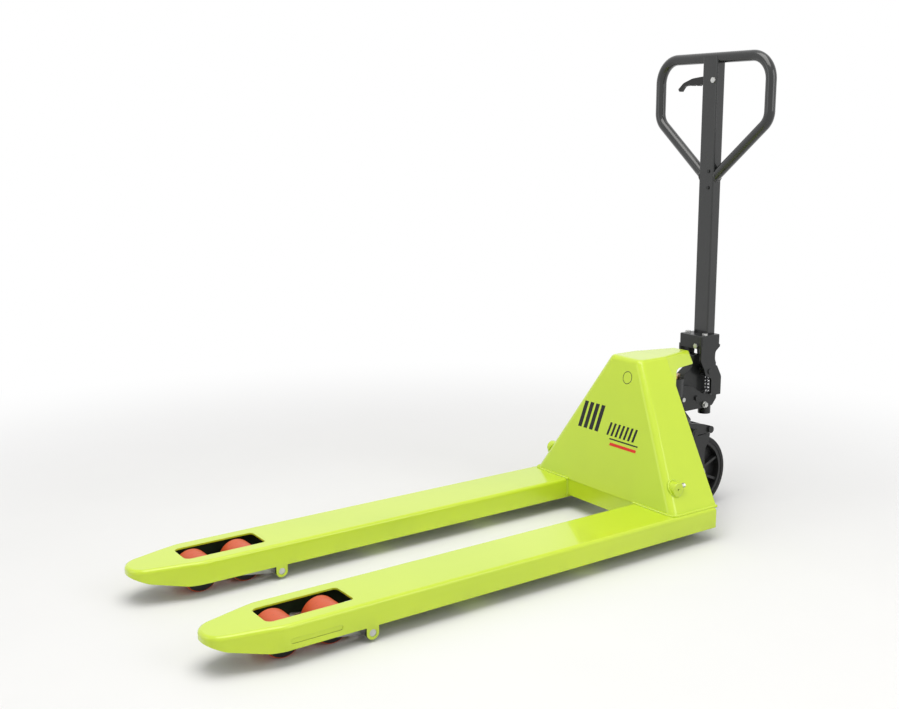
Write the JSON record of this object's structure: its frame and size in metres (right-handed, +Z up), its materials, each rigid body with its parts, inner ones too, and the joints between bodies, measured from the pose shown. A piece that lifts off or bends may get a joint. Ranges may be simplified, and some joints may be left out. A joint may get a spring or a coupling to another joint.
{
  "type": "pallet jack",
  "caption": "Hand pallet truck: channel forks on tandem rollers, bent mast housing, hydraulic pump on steered wheels, tilting loop handle with a hand lever.",
  "frame": {"origin": "middle of the footprint, on the floor", "axes": "+Y from the fork tips to the handle, +X to the operator's left, +Z up"},
  "size_m": [0.545, 1.54, 1.177],
  "materials": {
    "lime_paint": "gloss",
    "black_gloss_paint": "gloss",
    "black_satin_cast": "satin",
    "zinc": "zinc plated",
    "polished_steel": "polished",
    "spring_steel": "oiled",
    "brass": "turned",
    "roller_polyurethane": "satin",
    "tyre_rubber": "matte",
    "hub_plastic": "satin",
    "lever_plastic": "satin"
  },
  "bodies": {
    "chassis": {"fork_left": "lime_paint", "fork_right": "lime_paint", "mast_housing": "lime_paint", "head_block": "lime_paint", "cross_panel": "lime_paint", "rocker_bosses": "lime_paint", "rocker_shaft": "polished_steel", "boss_lock_bolts": "zinc", "roller_arm_pins": "zinc", "ram": "polished_steel", "ram_seat": "brass"},
    "steering_head": {"steering_head_plate": "black_satin_cast", "head_tie_bar": "black_satin_cast", "thrust_bearing": "polished_steel"},
    "pump_unit": {"pump_body": "black_satin_cast", "gland_nut": "brass", "release_valve": "zinc", "filler_plug": "zinc", "retaining_ring": "zinc", "axle_bracket": "black_satin_cast", "axle": "black_satin_cast", "axle_clips": "zinc", "yoke_pin": "black_satin_cast"},
    "piston": {"pump_piston": "polished_steel", "piston_cap": "spring_steel", "piston_spring": "spring_steel"},
    "handle": {"handle_yoke": "black_satin_cast", "cam_roller_pin": "polished_steel", "yoke_bolts": "zinc", "handle_pole": "black_gloss_paint", "handle_loop": "black_gloss_paint", "pole_rivets": "black_satin_cast", "lever_pin": "zinc"},
    "cam_roller": {"cam_roller": "polished_steel"},
    "hand_lever": {"hand_lever": "lever_plastic"},
    "control_rod": {"control_rod": "polished_steel"},
    "rocker": {"rocker_frame": "black_satin_cast", "rocker_head_pins": "black_satin_cast", "push_rod_pins": "zinc"},
    "steer_wheel_left": {"steer_tyre_left": "tyre_rubber", "steer_hub_left": "hub_plastic", "wheel_bearings_left": "polished_steel"},
    "push_rod_left": {"push_rod_left": "black_satin_cast"},
    "roller_arm_left": {"roller_arm_left": "zinc", "arm_pins_left": "zinc"},
    "bogie_left": {"bogie_left": "zinc", "roller_axles_left": "zinc"},
    "front_roller_left": {"front_roller_left": "roller_polyurethane"},
    "rear_roller_left": {"rear_roller_left": "roller_polyurethane"},
    "steer_wheel_right": {"steer_tyre_right": "tyre_rubber", "steer_hub_right": "hub_plastic", "wheel_bearings_right": "polished_steel"},
    "push_rod_right": {"push_rod_right": "black_satin_cast"},
    "roller_arm_right": {"roller_arm_right": "zinc", "arm_pins_right": "zinc"},
    "bogie_right": {"bogie_right": "zinc", "roller_axles_right": "zinc"},
    "front_roller_right": {"front_roller_right": "roller_polyurethane"},
    "rear_roller_right": {"rear_roller_right": "roller_polyurethane"}
  },
  "joints": [
    {"name": "lift", "type": "slide", "parent": "chassis", "child": "steering_head", "axis": [0, 0, -1], "range_m": [0, 0.115]},
    {"name": "steering", "type": "hinge", "parent": "steering_head", "child": "pump_unit", "pos_m": [0, 0.616, 0.23], "axis": [0, 0, 1], "range_deg": [-90, 90]},
    {"name": "handle_tilt", "type": "hinge", "parent": "pump_unit", "child": "handle", "pos_m": [0, 0.725, 0.358], "axis": [-1, 0, 0], "range_deg": [0, 70], "stiffness_Nm_per_rad": 25, "springref_deg": -17.19},
    {"name": "pump_stroke", "type": "slide", "parent": "pump_unit", "child": "piston", "axis": [0, 0, -1], "range_m": [0, 0.0387], "deforming": ["piston_spring"]},
    {"name": "cam_roller_spin", "type": "hinge", "parent": "handle", "child": "cam_roller", "pos_m": [0, 0.75268, 0.37597], "axis": [1, 0, 0], "continuous": true},
    {"name": "lever_squeeze", "type": "hinge", "parent": "handle", "child": "hand_lever", "pos_m": [0.014, 0.742, 1.108], "axis": [0, 1, 0], "range_deg": [-12, 14], "stiffness_Nm_per_rad": 2},
    {"name": "control_rod_slide", "type": "slide", "parent": "handle", "child": "control_rod", "axis": [0, 0, 1], "range_m": [-0.006, 0.006]},
    {"name": "rocker_turn", "type": "hinge", "parent": "chassis", "child": "rocker", "pos_m": [0, 0.418, 0.14], "axis": [1, 0, 0], "range_deg": [-31.53, 0]},
    {"name": "steer_wheel_left", "type": "hinge", "parent": "pump_unit", "child": "steer_wheel_left", "pos_m": [0.054, 0.655, 0.1], "axis": [1, 0, 0], "continuous": true},
    {"name": "push_rod_pivot_left", "type": "hinge", "parent": "rocker", "child": "push_rod_left", "pos_m": [0.1914, 0.44135, 0.05723], "axis": [1, 0, 0], "range_deg": [0, 31.53]},
    {"name": "roller_arm_turn_left", "type": "hinge", "parent": "chassis", "child": "roller_arm_left", "pos_m": [0.2, -0.4475, 0.02], "axis": [1, 0, 0], "range_deg": [0, 62.17]},
    {"name": "bogie_turn_left", "type": "hinge", "parent": "roller_arm_left", "child": "bogie_left", "pos_m": [0.2, -0.5655, 0.04], "axis": [1, 0, 0], "range_deg": [-62.17, 0]},
    {"name": "front_roller_left", "type": "hinge", "parent": "bogie_left", "child": "front_roller_left", "pos_m": [0.2, -0.618, 0.04], "axis": [1, 0, 0], "continuous": true},
    {"name": "rear_roller_left", "type": "hinge", "parent": "bogie_left", "child": "rear_roller_left", "pos_m": [0.2, -0.513, 0.04], "axis": [1, 0, 0], "continuous": true},
    {"name": "steer_wheel_right", "type": "hinge", "parent": "pump_unit", "child": "steer_wheel_right", "pos_m": [-0.054, 0.655, 0.1], "axis": [1, 0, 0], "continuous": true},
    {"name": "push_rod_pivot_right", "type": "hinge", "parent": "rocker", "child": "push_rod_right", "pos_m": [-0.1914, 0.44135, 0.05723], "axis": [1, 0, 0], "range_deg": [0, 31.53]},
    {"name": "roller_arm_turn_right", "type": "hinge", "parent": "chassis", "child": "roller_arm_right", "pos_m": [-0.2, -0.4475, 0.02], "axis": [1, 0, 0], "range_deg": [0, 62.17]},
    {"name": "bogie_turn_right", "type": "hinge", "parent": "roller_arm_right", "child": "bogie_right", "pos_m": [-0.2, -0.5655, 0.04], "axis": [1, 0, 0], "range_deg": [-62.17, 0]},
    {"name": "front_roller_right", "type": "hinge", "parent": "bogie_right", "child": "front_roller_right", "pos_m": [-0.2, -0.618, 0.04], "axis": [1, 0, 0], "continuous": true},
    {"name": "rear_roller_right", "type": "hinge", "parent": "bogie_right", "child": "rear_roller_right", "pos_m": [-0.2, -0.513, 0.04], "axis": [1, 0, 0], "continuous": true}
  ],
  "couplings": [
    {"joint": "pump_stroke", "follows": "handle_tilt", "m_per_rad": 0.031595},
    {"joint": "control_rod_slide", "follows": "lever_squeeze", "m_per_rad": 0.022},
    {"joint": "rocker_turn", "follows": "lift", "rad_per_m": -4.7828},
    {"joint": "push_rod_pivot_left", "follows": "lift", "rad_per_m": 4.7828},
    {"joint": "roller_arm_turn_left", "follows": "lift", "rad_per_m": 9.4336},
    {"joint": "bogie_turn_left", "follows": "lift", "rad_per_m": -9.4336},
    {"joint": "push_rod_pivot_right", "follows": "lift", "rad_per_m": 4.7828},
    {"joint": "roller_arm_turn_right", "follows": "lift", "rad_per_m": 9.4336},
    {"joint": "bogie_turn_right", "follows": "lift", "rad_per_m": -9.4336}
  ]
}
